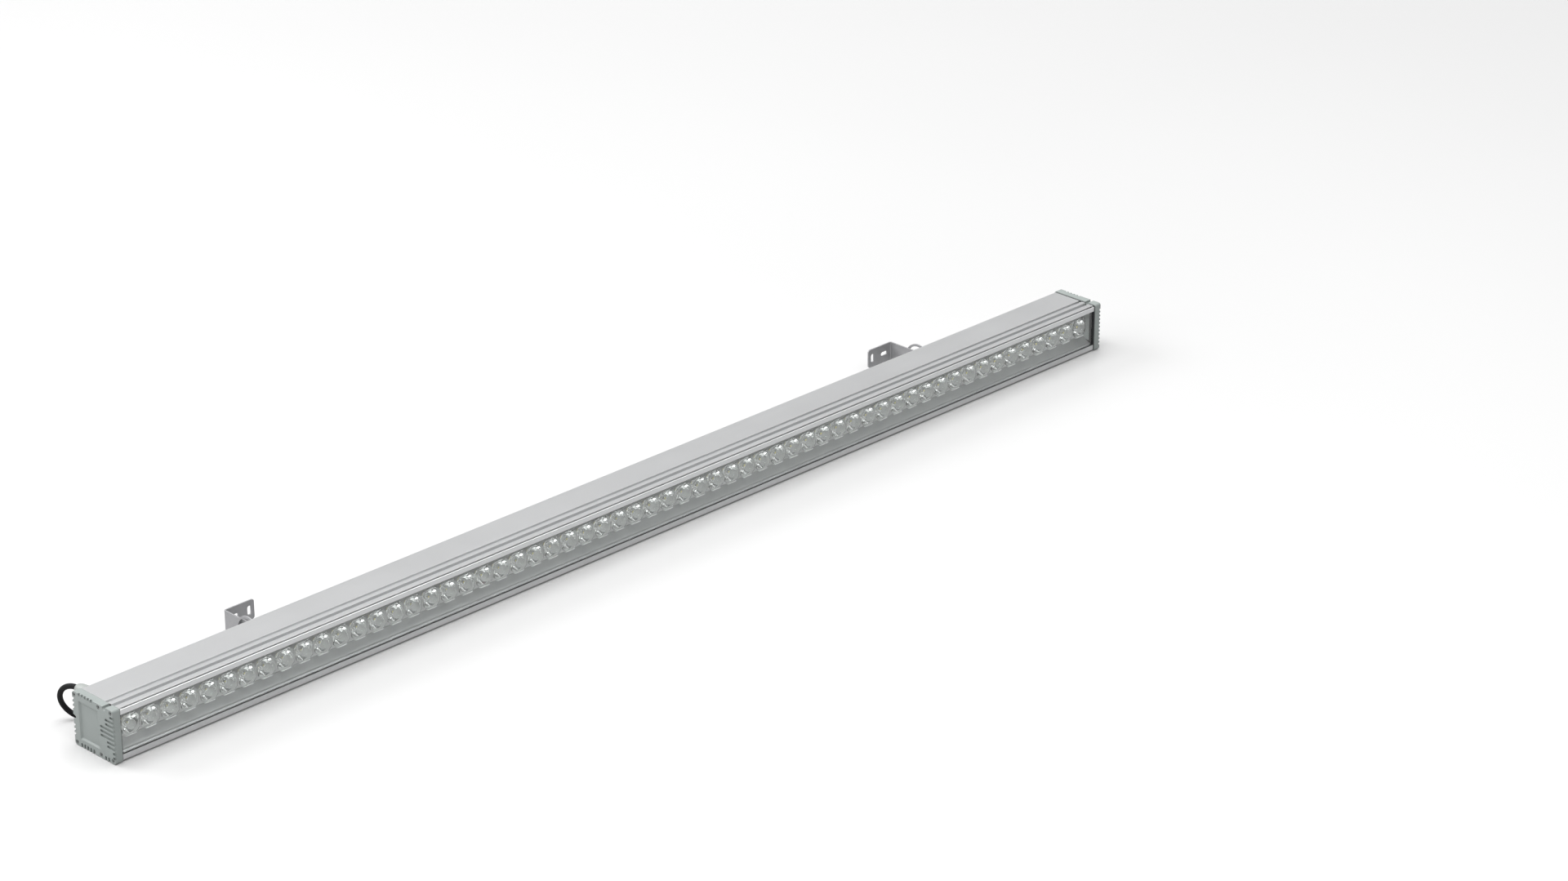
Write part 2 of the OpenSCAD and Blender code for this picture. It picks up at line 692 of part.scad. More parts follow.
// Two wires from the power supply through the inner wall to the first board
lead_bend = 5;
module lamp_leads() {
    color("firebrick") placed() for (s = [-1, 1]) {
        x_from = tray_x0 + supply_l - board_inset - 1.2 * lead_bend;
        y_from = tray_mid_y + s * 0.4 * lead_bend;
        y_run = partition_y1 + (1.6 + s * 0.3) * lead_bend;
        x_hole = lead_x + s * 0.8;
        y_front = board_y0 - lamp_lead_r - 0.02;
        tray_top = tray_z0 + tray_h;
        tube(concat(
            [[x_from, y_from, parts_z], [x_from, y_from, parts_z + 2.4 * lead_bend],
             [x_from, y_from, tray_top - 0.8 * lead_bend],
             [x_from + 0.3 * lead_bend, y_from, tray_top + 0.2 * lead_bend],
             [x_from + 1.4 * lead_bend, y_from - 0.2 * lead_bend, tray_top + lead_bend],
             [x_from + 4 * lead_bend, y_run + 0.4 * lead_bend, lead_z - 2 * lead_bend],
             [x_from + 9 * lead_bend, y_run, lead_z - lead_bend],
             [x_hole - 6 * lead_bend, y_run, lead_z - 0.2 * lead_bend]],
            [for (a = [0:22.5:90])
                [x_hole - lead_bend * (1 - sin(a)), y_run - lead_bend * (1 - cos(a)), lead_z]],
            [[x_hole, partition_y0, lead_z], [x_hole, board_y0 + 1, lead_z],
             [x_hole, board_y0 - 0.2, lead_z - 0.3], [x_hole, y_front, lead_z - 1.4],
             [x_hole, y_front, lead_z - 3], [x_hole, y_front, lead_z - 6]]
        ), lamp_lead_r, 8, [0, 1, 0]);
    }
}

// Cable gland: collar, smooth dome and threaded end in one moulding
gland_tip_r = 4.2;
gland_collar_t = 2;
module gland() {
    bore_r = cable_r + run_clear;
    outline = concat(
        [[bore_r, -gland_in], [gland_thread_r, -gland_in], [gland_thread_r, gland_washer_t],
         [gland_r, gland_washer_t], [gland_r, gland_washer_t + gland_collar_t]],
        [for (a = [10:10:90]) [gland_tip_r + (gland_r - 0.4 - gland_tip_r) * cos(a),
            gland_washer_t + gland_collar_t + (gland_out - gland_washer_t - gland_collar_t) * sin(a)]],
        [[bore_r, gland_out]]
    );
    color("white") placed() translate([gland_x, out_y1, gland_z]) rotate([-90, 0, 0])
        rotate_extrude() polygon(outline);
}

module gland_washer() {
    color(black_rubber) placed() difference() {
        rod_y(out_y1, gland_washer_t, gland_r - 0.6, gland_x, gland_z);
        rod_y(out_y1 - 1, gland_washer_t + 2, gland_thread_r + run_clear, gland_x, gland_z);
    }
}

module gland_nut() {
    color("white") placed() difference() {
        rod_y(rear_y1 - gland_nut_t, gland_nut_t, gland_nut_r, gland_x, gland_z, 6);
        rod_y(rear_y1 - gland_nut_t - 1, gland_nut_t + 2, gland_thread_r + run_clear, gland_x, gland_z);
    }
}

// The stretch of cable that the gland holds
module cable_core() {
    color([0.1, 0.1, 0.1]) placed() rod_y(core_y0, gland_y1 - core_y0, cable_r, gland_x, gland_z, 48);
}

module supply_cable() {
    color([0.1, 0.1, 0.1]) placed() tube(concat(
        [[gland_x, gland_y1, gland_z], [gland_x, gland_y1 + cable_straight, gland_z]],
        [for (i = [1:len(CABLE_ROUTE) - 1]) CABLE_ROUTE[i]]), cable_r, 12, [1, 0, 0]);
}

// Sheet bent once through a right angle: the arm runs along +y, the plate along +x
module bent_sheet(y_far, width) {
    out_r = bend_in_r + sheet_t;
    translate([0, -eps]) square([sheet_t, y_far - out_r + eps]);
    translate([out_r, y_far - sheet_t]) square([width - out_r, sheet_t]);
    translate([out_r, y_far - out_r]) intersection() {
        difference() {
            circle(out_r);
            circle(bend_in_r);
        }
        translate([-out_r, 0]) square(out_r);
    }
}

// The arc slot round the pivot, in the (y, z) plane
module arc_slot() {
    wedge_step = (360 - 2 * arc_end) / 4;
    difference() {
        circle(arc_r + arc_w / 2);
        circle(arc_r - arc_w / 2);
        polygon(concat([[0, 0]], [for (k = [0:4]) let (a = arc_end + k * wedge_step)
            4 * head_r * [cos(a), sin(a)]]));
    }
    for (a = [-arc_end, arc_end]) rotate(a) translate([arc_r, 0]) circle(arc_w / 2 - run_clear);
}

// Bracket on the housing, with z measured from its screw line
module fixture_bracket() {
    difference() {
        intersection() {
            translate([0, 0, -head_r]) linear_extrude(head_r + plate_long)
                translate([0, pivot_y + head_r]) mirror([0, 1])
                    bent_sheet(pivot_y + head_r - plate_y0, plate_w);
            union() {
                translate([-1, plate_y0 - 1, -plate_short])
                    cube([plate_w + 2, bend_in_r + sheet_t + 1, plate_short + plate_long]);
                along_x(-1, sheet_t + 2) {
                    translate([pivot_y, 0]) circle(head_r);
                    translate([plate_y0, -neck_h]) square([pivot_y - plate_y0, 2 * neck_h]);
                }
            }
        }
        along_x(-1, sheet_t + 2) translate([pivot_y, 0]) arc_slot();
        rod_x(-1, sheet_t + 2, bolt_r + run_clear, pivot_y, 0);
        for (i = [0, 1])
            rod_y(plate_y0 - 1, sheet_t + 2, plate_hole_r, slot_screw_x0 + i * slot_screw_gap, 0);
    }
}

// Bracket on the wall
module wall_bracket() {
    half = wall_arm_h / 2;
    flange_y0 = flange_y1 - sheet_t;
    run = (wall_slot_l - wall_slot_w) / 2;
    difference() {
        intersection() {
            translate([wall_x0, 0, -half]) linear_extrude(wall_arm_h) bent_sheet(flange_y1, flange_w);
            along_x(wall_x0 - 1, flange_w + 2) {
                translate([pivot_y, 0]) circle(half);
                translate([pivot_y, -half]) square([wall_reach + 1, wall_arm_h]);
            }
            union() {
                translate([wall_x0 - 1, pivot_y - half - 1, -half])
                    cube([flange_w + 1 - flange_corner, wall_reach + half + 2, wall_arm_h]);
                translate([wall_x0, pivot_y, -half + flange_corner])
                    cube([flange_w, wall_reach + 1, wall_arm_h - 2 * flange_corner]);
                for (z = [-half + flange_corner, half - flange_corner])
                    rod_y(pivot_y, wall_reach + 1, flange_corner, wall_x0 + flange_w - flange_corner, z);
            }
        }
        rod_x(wall_x0 - 1, sheet_t + 2, bolt_r + run_clear, pivot_y, 0);
        rod_x(wall_x0 - 1, sheet_t + 2, bolt_r + run_clear, pivot_y + arc_r, 0);
        for (s = [-1, 1]) {
            rod_y(flange_y0 - 1, sheet_t + 2, wall_slot_w / 2, wall_x0 + wall_slot_flat_x + s * run, 0);
            rod_y(flange_y0 - 1, sheet_t + 2, wall_slot_w / 2, wall_x0 + wall_slot_upright_x, s * run);
        }
        translate([wall_x0 + wall_slot_flat_x - run, flange_y0 - 1, -wall_slot_w / 2])
            cube([2 * run, sheet_t + 2, wall_slot_w]);
        translate([wall_x0 + wall_slot_upright_x - wall_slot_w / 2, flange_y0 - 1, -run])
            cube([wall_slot_w, sheet_t + 2, 2 * run]);
    }
}

bolt_head_r = 5.8;
bolt_top_r = 3.6;
bolt_rim_t = 1.2;
bolt_past_nut = 1.2;

// Low round head with a bevelled rim, a shank, and its end past the nut
module bolt(y, head_gap, nut_end) {
    translate([-head_gap, y, 0]) {
        translate([-bolt_rim_t, 0, 0]) rotate([0, 90, 0]) cylinder(h = bolt_rim_t, r = bolt_head_r);
        translate([-head_t, 0, 0]) rotate([0, 90, 0])
            cylinder(h = head_t - bolt_rim_t + eps, r1 = bolt_top_r, r2 = bolt_head_r);
    }
    rod_x(-head_gap - eps, nut_end + head_gap + bolt_past_nut, bolt_r, y, 0);
}

module hex_nut(x0, y) {
    difference() {
        rod_x(x0, nut_t, nut_r, y, 0, 6);
        rod_x(x0 - 1, nut_t + 2, bolt_r + run_clear, y, 0);
    }
}

pivot_nut_x0 = wall_x1 + bolt_gap + washer_t;

module pivot_bolt() { bolt(pivot_y, 0, pivot_nut_x0 + nut_t); }
module lock_bolt() { bolt(pivot_y + arc_r, bolt_gap, wall_x1 + nut_t); }
module pivot_nut() { hex_nut(pivot_nut_x0, pivot_y); }
module lock_nut() { hex_nut(wall_x1, pivot_y + arc_r); }

module pivot_washers() {
    for (w = [[arm_x1, spacer_t], [wall_x1 + bolt_gap, washer_t]]) difference() {
        rod_x(w[0], w[1], washer_r, pivot_y, 0);
        rod_x(w[0] - 1, w[1] + 2, bolt_r + run_clear, pivot_y, 0);
    }
}

module slot_screws() {
    for (i = [0, 1]) {
        x = slot_screw_x0 + i * slot_screw_gap;
        difference() {
            rod_y(plate_y1, slot_head_t, slot_head_r, x, 0);
            rod_y(plate_y1 + slot_head_t - 1.8, 2, 2.3, x, 0, 6);
        }
        rod_y(slot_y0 + 0.6, plate_y1 - slot_y0 - 0.6 + eps, slot_screw_r, x, 0);
    }
}

module slot_nuts() {
    for (i = [0, 1]) {
        x = slot_screw_x0 + i * slot_screw_gap;
        difference() {
            translate([x - slot_nut / 2, slot_nut_y1 - slot_nut_t, -slot_nut / 2])
                cube([slot_nut, slot_nut_t, slot_nut]);
            rod_y(slot_nut_y1 - slot_nut_t - 1, slot_nut_t + 2, slot_screw_r + run_clear, x, 0);
        }
    }
}

// The left bracket pair, and the right one turned half round about the depth axis
module left_pair() {
    placed() translate([bracket_left, 0, back_slot_z]) children();
}
module right_pair() {
    placed() translate([fixture_length - bracket_right, 0, back_slot_z]) rotate([0, 180, 0]) children();
}

module fixture_bracket_left() { color(zinc) left_pair() fixture_bracket(); }
module slot_screws_left() { color(steel) left_pair() slot_screws(); }
module slot_nuts_left() { color(zinc) left_pair() slot_nuts(); }
module pivot_bolt_left() { color(steel) left_pair() pivot_bolt(); }
module pivot_washers_left() { color(steel) left_pair() pivot_washers(); }
module pivot_nut_left() { color(steel) left_pair() pivot_nut(); }
module wall_bracket_left() { color(zinc) left_pair() wall_bracket(); }
module lock_bolt_left() { color(steel) left_pair() lock_bolt(); }
module lock_nut_left() { color(steel) left_pair() lock_nut(); }

module fixture_bracket_right() { color(zinc) right_pair() fixture_bracket(); }
module slot_screws_right() { color(steel) right_pair() slot_screws(); }
module slot_nuts_right() { color(zinc) right_pair() slot_nuts(); }
module pivot_bolt_right() { color(steel) right_pair() pivot_bolt(); }
module pivot_washers_right() { color(steel) right_pair() pivot_washers(); }
module pivot_nut_right() { color(steel) right_pair() pivot_nut(); }
module wall_bracket_right() { color(zinc) right_pair() wall_bracket(); }
module lock_bolt_right() { color(steel) right_pair() lock_bolt(); }
module lock_nut_right() { color(steel) right_pair() lock_nut(); }

housing();
end_cap_left();
end_cap_right();
end_cap_gasket_left();
end_cap_gasket_right();
end_cap_screws_left();
end_cap_screws_right();
front_glass();
glass_gasket();
lamp_boards();
board_screws();
lamp_chips();
lenses_left();
lenses_middle();
lenses_right();
supply_tray();
supply_board();
supply_transformer();
supply_capacitors();
terminal_block();
mains_leads();
lamp_leads();
gland();
gland_washer();
gland_nut();
cable_core();
supply_cable();
fixture_bracket_left();
slot_screws_left();
slot_nuts_left();
pivot_bolt_left();
pivot_washers_left();
pivot_nut_left();
wall_bracket_left();
lock_bolt_left();
lock_nut_left();
fixture_bracket_right();
slot_screws_right();
slot_nuts_right();
pivot_bolt_right();
pivot_washers_right();
pivot_nut_right();
wall_bracket_right();
lock_bolt_right();
lock_nut_right();
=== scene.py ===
"""Looks of the outdoor wall washer light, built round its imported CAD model.

Sizes are in millimetres and in the light's own corner frame, as in the CAD source:
x from the cable end, y from the caps' front edge, z up. at() takes them to the
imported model's frame in metres.
"""

import json
import math

import bpy
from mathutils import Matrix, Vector

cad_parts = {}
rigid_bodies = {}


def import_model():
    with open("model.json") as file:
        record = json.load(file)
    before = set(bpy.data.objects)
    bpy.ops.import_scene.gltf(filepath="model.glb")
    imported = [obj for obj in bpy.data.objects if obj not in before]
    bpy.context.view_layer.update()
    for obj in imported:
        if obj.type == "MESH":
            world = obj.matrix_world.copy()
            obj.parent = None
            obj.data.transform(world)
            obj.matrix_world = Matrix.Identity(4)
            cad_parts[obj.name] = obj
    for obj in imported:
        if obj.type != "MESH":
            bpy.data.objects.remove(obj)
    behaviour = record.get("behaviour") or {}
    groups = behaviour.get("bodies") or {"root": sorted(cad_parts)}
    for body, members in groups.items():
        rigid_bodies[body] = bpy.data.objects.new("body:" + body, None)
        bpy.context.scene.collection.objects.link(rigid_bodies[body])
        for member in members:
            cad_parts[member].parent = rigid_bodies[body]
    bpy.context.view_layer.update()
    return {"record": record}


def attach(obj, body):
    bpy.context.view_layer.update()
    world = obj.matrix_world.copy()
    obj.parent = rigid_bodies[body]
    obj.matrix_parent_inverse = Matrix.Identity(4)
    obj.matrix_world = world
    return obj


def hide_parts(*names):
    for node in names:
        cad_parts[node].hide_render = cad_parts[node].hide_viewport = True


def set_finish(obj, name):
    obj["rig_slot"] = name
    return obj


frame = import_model()

MM = 0.001
CORNER = Vector((-750.0, -64.4, 0.0))


def at(x, y, z):
    """A point of the corner frame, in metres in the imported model's frame."""
    return (CORNER + Vector((x, y, z))) * MM


# ---------------------------------------------------------------- camera and cable


def make_camera():
    data = bpy.data.cameras.new("camera")
    data.sensor_width = 36.0
    data.lens = 98.04
    data.clip_end = 60.0
    camera = bpy.data.objects.new("camera", data)
    camera.location = (-2.95794, -3.16846, 2.03661)
    camera.rotation_euler = [math.radians(a) for a in (65.861, -0.044, -45.468)]
    bpy.context.scene.collection.objects.link(camera)
    bpy.context.scene.camera = camera


CABLE_R = 2.95
CABLE_SIDES = 28
# The cut end: a ring of sheath round a recess that holds the three wires
SHEATH_IN_R = 2.15
RECESS_R = 2.05
RECESS_DEEP = 0.7
CLOSED_R = 0.02
WIRE_OFFSET = 1.08
WIRE_TURN = 0.08
WIRE_R = 0.93
WIRE_EDGE_R = 0.86
WIRE_SIDES = 16
COPPER_R = 0.5
COPPER_SIDES = 12
WIRE_SLOTS = {"brown": "brown_wire", "blue": "blue_can", "green": "green_plastic"}
CABLE_ROUTE = [
    (23, 88, 46.5), (22.75, 93.88, 46.09), (22.1, 99.6, 44.79), (21.2, 104.98, 42.52),
    (20.37, 109.72, 39.12), (19.96, 113.48, 34.6), (20.22, 116.02, 29.29), (21.29, 117.2, 23.62),
    (23.1, 116.95, 18.02), (25.5, 115.29, 12.9), (28.26, 112.3, 8.64), (31.15, 108.2, 5.54),
    (34.01, 103.36, 3.77), (36.9, 98.26, 3.07), (40.02, 93.24, 3.02), (43.61, 88.56, 3),
    (47.79, 84.4, 3), (52.52, 80.87, 3), (57.67, 77.97, 3), (63.09, 75.63, 3), (68.69, 73.75, 3),
    (74.41, 72.28, 3), (80.22, 71.23, 3), (86.1, 70.66, 3), (92, 70.61, 3),
]


def smooth_path(points, steps):
    """Catmull-Rom curve through the points, steps samples to a span."""
    pts = [Vector(p) for p in points]
    pts = [2 * pts[0] - pts[1]] + pts + [2 * pts[-1] - pts[-2]]
    out = []
    for i in range(1, len(pts) - 2):
        a, b, c, d = pts[i - 1 : i + 3]
        for k in range(steps):
            t = k / steps
            out.append(
                0.5 * (2 * b + (c - a) * t + (2 * a - 5 * b + 4 * c - d) * t**2
                       + (3 * b - a - 3 * c + d) * t**3)
            )
    return out + [pts[-2]]


def new_piece(name, verts, faces, body, slot, smooth=True):
    """A mesh piece from points in metres, riding on a body. slot may be None."""
    mesh = bpy.data.meshes.new(name)
    mesh.from_pydata([tuple(v) for v in verts], [], faces)
    mesh.validate()
    mesh.update()
    if smooth:
        mesh.shade_smooth()
    piece = bpy.data.objects.new(name, mesh)
    bpy.context.scene.collection.objects.link(piece)
    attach(piece, body)
    if slot:
        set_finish(piece, slot)
    return piece


def ring_faces(first, second, count):
    """Quads between two rings of count points that start at the given indices."""
    return [
        (first + j, first + (j + 1) % count, second + (j + 1) % count, second + j)
        for j in range(count)
    ]


def swept(path, radius_at, sides, across):
    """Points and quads of a tube along a path. radius_at(i) is its radius at point i."""
    verts, faces = [], []
    u = Vector(across)
    for i, p in enumerate(path):
        ahead = path[min(i + 1, len(path) - 1)] - path[max(i - 1, 0)]
        t = ahead.normalized()
        u = (u - u.dot(t) * t).normalized()
        v = t.cross(u)
        for j in range(sides):
            a = math.tau * j / sides
            verts.append(p + radius_at(i) * (math.cos(a) * u + math.sin(a) * v))
        if i:
            faces += ring_faces((i - 1) * sides, i * sides, sides)
    return verts, faces


def make_cable():
    path = smooth_path([at(*p) for p in CABLE_ROUTE], 5)
    sides = CABLE_SIDES
    verts, faces = swept(path, lambda i: CABLE_R * MM, sides, (1, 0, 0))
    t = (path[-1] - path[-2]).normalized()
    last = (len(path) - 1) * sides
    for radius, back in ((SHEATH_IN_R, 0.0), (RECESS_R, RECESS_DEEP), (CLOSED_R, RECESS_DEEP)):
        centre = path[-1] - t * back * MM
        ring = [
            centre + (verts[last + j] - path[-1]) * (radius / CABLE_R) for j in range(sides)
        ]
        start = len(verts)
        verts += ring
        faces += ring_faces(start - sides if start > last + sides else last, start, sides)
    faces.append(tuple(range(len(verts) - sides, len(verts))))
    faces.append(tuple(reversed(range(sides))))
    cable = new_piece("cable_sheath", verts, faces, "fixture", "cable_sheath")
    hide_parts("supply_cable")

    wires = []
    for k, (name, slot) in enumerate(WIRE_SLOTS.items()):
        a = math.tau * (k / len(WIRE_SLOTS) + WIRE_TURN)
        side = Vector((0, math.cos(a), math.sin(a))) * WIRE_OFFSET * MM
        centre = path[-1] + side
        line = [centre - t * back * MM for back in (RECESS_DEEP - 0.01, 0.1, 0.02)]
        radii = (WIRE_R, WIRE_R, WIRE_EDGE_R)
        tube, quads = swept(line, lambda i: radii[i] * MM, WIRE_SIDES, (0, 0, 1))
        quads.append(tuple(range(2 * WIRE_SIDES, 3 * WIRE_SIDES)))
        wire = new_piece(f"cable_wire_{name}", tube, quads, "fixture", slot)
        line = [centre - t * back * MM for back in (0.1, 0.0)]
        core, quads = swept(line, lambda i: COPPER_R * MM, COPPER_SIDES, (0, 0, 1))
        quads.append(tuple(range(COPPER_SIDES, 2 * COPPER_SIDES)))
        copper = new_piece(f"cable_copper_{name}", core, quads, "fixture", "copper_winding")
        wires += [wire, copper]


make_camera()
make_cable()

# ---------------------------------------------------------------- materials


class Tree:
    """A material's node tree. Inputs given as sockets are linked, others set."""

    def __init__(self, name):
        self.material = bpy.data.materials.new(name)
        self.material.use_nodes = True
        self.tree = self.material.node_tree
        self.tree.nodes.clear()

    def node(self, kind, inputs=None, **settings):
        node = self.tree.nodes.new("ShaderNode" + kind)
        for key, value in settings.items():
            setattr(node, key, value)
        for key, value in (inputs or {}).items():
            if isinstance(value, bpy.types.NodeSocket):
                self.tree.links.new(value, node.inputs[key])
            else:
                node.inputs[key].default_value = value
        return node

    def place(self, stretch=(1, 1, 1)):
        """Object coordinates, stretched."""
        coords = self.node("TexCoord").outputs["Object"]
        return self.node("Mapping", {"Vector": coords, "Scale": stretch}).outputs["Vector"]

    def noise(self, scale, detail=3.0, stretch=(1, 1, 1)):
        return self.node(
            "TexNoise", {"Vector": self.place(stretch), "Scale": scale, "Detail": detail}
        ).outputs["Fac"]

    def ramp(self, factor, *stops):
        node = self.node("ValToRGB", {"Fac": factor})
        elements = node.color_ramp.elements
        while len(elements) < len(stops):
            elements.new(0.5)
        for element, (position, colour) in zip(elements, stops):
            element.position = position
            element.color = (*colour, 1.0)
        return node.outputs["Color"]

    def span(self, value, low, high, start=0.3, end=0.7):
        """value from start to end taken to low to high."""
        return self.node(
            "MapRange",
            {"Value": value, "From Min": start, "From Max": end, "To Min": low, "To Max": high},
        ).outputs["Result"]

    def rounded(self, radius):
        """The surface normal with edges rounded off by radius, in millimetres."""
        return self.node("Bevel", {"Radius": radius * MM}, samples=6).outputs["Normal"]

    def bump(self, height, strength, distance, normal=None):
        inputs = {"Height": height, "Strength": strength, "Distance": distance * MM}
        if normal is not None:
            inputs["Normal"] = normal
        return self.node("Bump", inputs).outputs["Normal"]

    def finish(self, shader):
        output = self.node("OutputMaterial")
        self.tree.links.new(shader, output.inputs["Surface"])
        return self.material

    def plain(self, **inputs):
        """Ends the tree in one Principled shader."""
        names = {key.replace("_", " "): value for key, value in inputs.items()}
        return self.finish(self.node("BsdfPrincipled", names).outputs["BSDF"])

    def clear(self, **inputs):
        """Ends the tree in a clear Principled shader that lets the lamps' light through."""
        names = {key.replace("_", " "): value for key, value in inputs.items()}
        glass = self.node("BsdfPrincipled", {"Transmission Weight": 1.0, **names}).outputs["BSDF"]
        through = self.node("BsdfTransparent").outputs["BSDF"]
        ray = self.node("LightPath").outputs["Is Shadow Ray"]
        return self.finish(self.node("MixShader", {0: ray, 1: glass, 2: through}).outputs[0])


def shade(colour, share):
    return tuple(c * share for c in colour)


def anodised_housing():
    t = Tree("anodised_housing")
    streaks = t.noise(1.0, 4, (3, 900, 900))
    clouds = t.noise(14.0, 3)
    tone = (0.585, 0.59, 0.595)
    return t.plain(
        Base_Color=t.ramp(clouds, (0.3, shade(tone, 0.975)), (0.7, shade(tone, 1.02))),
        Metallic=0.95,
        Roughness=t.span(streaks, 0.43, 0.46),
        Normal=t.bump(streaks, 0.015, 0.03, t.rounded(0.3)),
    )


def cast_cap():
    t = Tree("cast_cap")
    peel = t.noise(900.0, 2)
    clouds = t.noise(40.0, 4)
    tone = (0.229, 0.253, 0.245)
    return t.plain(
        Base_Color=t.ramp(clouds, (0.3, shade(tone, 0.96)), (0.7, shade(tone, 1.03))),
        Roughness=t.span(clouds, 0.46, 0.56),
        Normal=t.bump(peel, 0.22, 0.08, t.rounded(0.7)),
    )


def black_rubber():
    t = Tree("black_rubber")
    grain = t.noise(1200.0, 2)
    return t.plain(
        Base_Color=t.ramp(grain, (0.3, (0.018, 0.018, 0.019)), (0.7, (0.03, 0.03, 0.031))),
        Roughness=t.span(grain, 0.55, 0.7),
        Normal=t.bump(grain, 0.15, 0.05),
    )


def bright_steel():
    t = Tree("bright_steel")
    scuffs = t.noise(500.0, 4)
    return t.plain(
        Base_Color=t.ramp(scuffs, (0.3, (0.66, 0.66, 0.66)), (0.7, (0.76, 0.76, 0.75))),
        Metallic=1.0,
        Roughness=t.span(scuffs, 0.16, 0.3),
        Normal=t.bump(scuffs, 0.08, 0.03, t.rounded(0.25)),
    )


def plated_screw():
    t = Tree("plated_screw")
    scuffs = t.noise(900.0, 3)
    return t.plain(
        # The dark grey is painted shade: the screw heads are darkened to stand in for the shadow
        # inside their recessed holes.
        Base_Color=t.ramp(scuffs, (0.3, (0.22, 0.23, 0.225)), (0.7, (0.30, 0.31, 0.305))),
        Metallic=0.6,
        Roughness=t.span(scuffs, 0.4, 0.52),
        Normal=t.bump(scuffs, 0.08, 0.03, t.rounded(0.2)),
    )


def zinc_sheet():
    t = Tree("zinc_sheet")
    cells = t.node(
        "TexVoronoi", {"Vector": t.place(), "Scale": 240.0, "Randomness": 1.0}
    ).outputs["Color"]
    grey = t.node("RGBToBW", {"Color": cells}).outputs["Val"]
    fine = t.noise(700.0, 3)
    return t.plain(
        Base_Color=t.ramp(grey, (0.2, (0.272, 0.272, 0.28)), (0.8, (0.294, 0.294, 0.302))),
        Metallic=0.35,
        Roughness=t.span(grey, 0.46, 0.54, 0.2, 0.8),
        Normal=t.bump(fine, 0.08, 0.04, t.rounded(0.3)),
    )


def clear_glass():
    t = Tree("clear_glass")
    smears = t.noise(30.0, 4)
    return t.clear(
        Base_Color=t.ramp(smears, (0.3, (0.95, 0.975, 0.965)), (0.7, (0.965, 0.985, 0.975))),
        Roughness=0.0,
        IOR=1.5,
    )


def clear_lens():
    t = Tree("clear_lens")
    flow = t.noise(260.0, 2)
    return t.clear(
        Base_Color=t.ramp(flow, (0.3, (0.965, 0.975, 0.97)), (0.7, (0.985, 0.99, 0.985))),
        Roughness=0.02,
        IOR=1.49,
        Normal=t.bump(flow, 0.05, 0.08),
    )


def grey_board():
    t = Tree("grey_board")
    mask = t.noise(420.0, 3)
    tracks = t.node(
        "TexBrick",
        {"Vector": t.node("Mapping", {
            "Vector": t.node("TexCoord").outputs["Object"],
            "Rotation": (math.radians(90), 0, 0),
        }).outputs["Vector"], "Scale": 80.0, "Mortar Size": 0.012,
         "Color1": (0.33, 0.335, 0.33, 1), "Color2": (0.36, 0.365, 0.36, 1),
         "Mortar": (0.25, 0.255, 0.25, 1)},
    )
    return t.plain(
        Base_Color=tracks.outputs["Color"],
        Roughness=t.span(mask, 0.38, 0.5),
        Normal=t.bump(mask, 0.06, 0.03),
    )


def yellow_phosphor():
    t = Tree("yellow_phosphor")
    grain = t.noise(2500.0, 2)
    return t.plain(
        Base_Color=t.ramp(grain, (0.3, (0.80, 0.66, 0.10)), (0.7, (0.90, 0.80, 0.20))),
        Roughness=t.span(grain, 0.2, 0.35),
    )


def moulded(name, tone, rough, grain_scale=600.0):
    """Injection-moulded plastic, enamel or lacquer with a fine grain."""
    t = Tree(name)
    grain = t.noise(grain_scale, 3)
    return t.plain(
        Base_Color=t.ramp(grain, (0.3, shade(tone, 0.95)), (0.7, shade(tone, 1.04))),
        Roughness=t.span(grain, rough - 0.05, rough + 0.05),
        Normal=t.bump(grain, 0.06, 0.03, t.rounded(0.3)),
    )


def copper_winding():
    t = Tree("copper_winding")
    turns = t.node(
        "TexWave", {"Vector": t.place(), "Scale": 700.0, "Distortion": 0.4}
    ).outputs["Fac"]
    return t.plain(
        Base_Color=t.ramp(turns, (0.2, (0.42, 0.16, 0.06)), (0.8, (0.85, 0.42, 0.2))),
        Metallic=0.9,
        Roughness=t.span(turns, 0.25, 0.4),
        Normal=t.bump(turns, 0.3, 0.1),
    )


def cable_sheath():
    t = Tree("cable_sheath")
    grain = t.noise(800.0, 3)
    smears = t.noise(60.0, 3)
    return t.plain(
        Base_Color=t.ramp(smears, (0.3, (0.006, 0.006, 0.0065)), (0.7, (0.010, 0.010, 0.0105))),
        Roughness=t.span(grain, 0.56, 0.7),
        Specular_IOR_Level=0.12,
        Normal=t.bump(grain, 0.1, 0.04),
    )


LOOKS = {
    "anodised_housing": anodised_housing(),
    "cast_cap": cast_cap(),
    "black_rubber": black_rubber(),
    "bright_steel": bright_steel(),
    "plated_screw": plated_screw(),
    "zinc_sheet": zinc_sheet(),
    "clear_glass": clear_glass(),
    "clear_lens": clear_lens(),
    "grey_board": grey_board(),
    "yellow_phosphor": yellow_phosphor(),
    "white_plastic": moulded("white_plastic", (0.25, 0.265, 0.255), 0.5),
    "green_board": moulded("green_board", (0.03, 0.16, 0.07), 0.4),
    "copper_winding": copper_winding(),
    "blue_can": moulded("blue_can", (0.05, 0.12, 0.42), 0.35),
    "green_plastic": moulded("green_plastic", (0.06, 0.30, 0.10), 0.4),
    "brown_wire": moulded("brown_wire", (0.16, 0.06, 0.025), 0.4),
    "red_wire": moulded("red_wire", (0.45, 0.03, 0.02), 0.4),
    "cable_sheath": cable_sheath(),
    # Near-white painted highlight for the glint on each lens plate's lower edge
    "lens_feet": moulded("lens_feet", (0.78, 0.80, 0.79), 0.3),
}

# ---------------------------------------------------------------- lenses

LENS_PITCH = 24.9
LENS_X0 = 27.9
LENS_Y0 = 10.4
LENS_Z = 33.2
LENS_HALF = 11.0
LENS_CUT = LENS_HALF - 4.3
LENS_GROUPS = {"lenses_left": (0, 20), "lenses_middle": (20, 39), "lenses_right": (39, 59)}
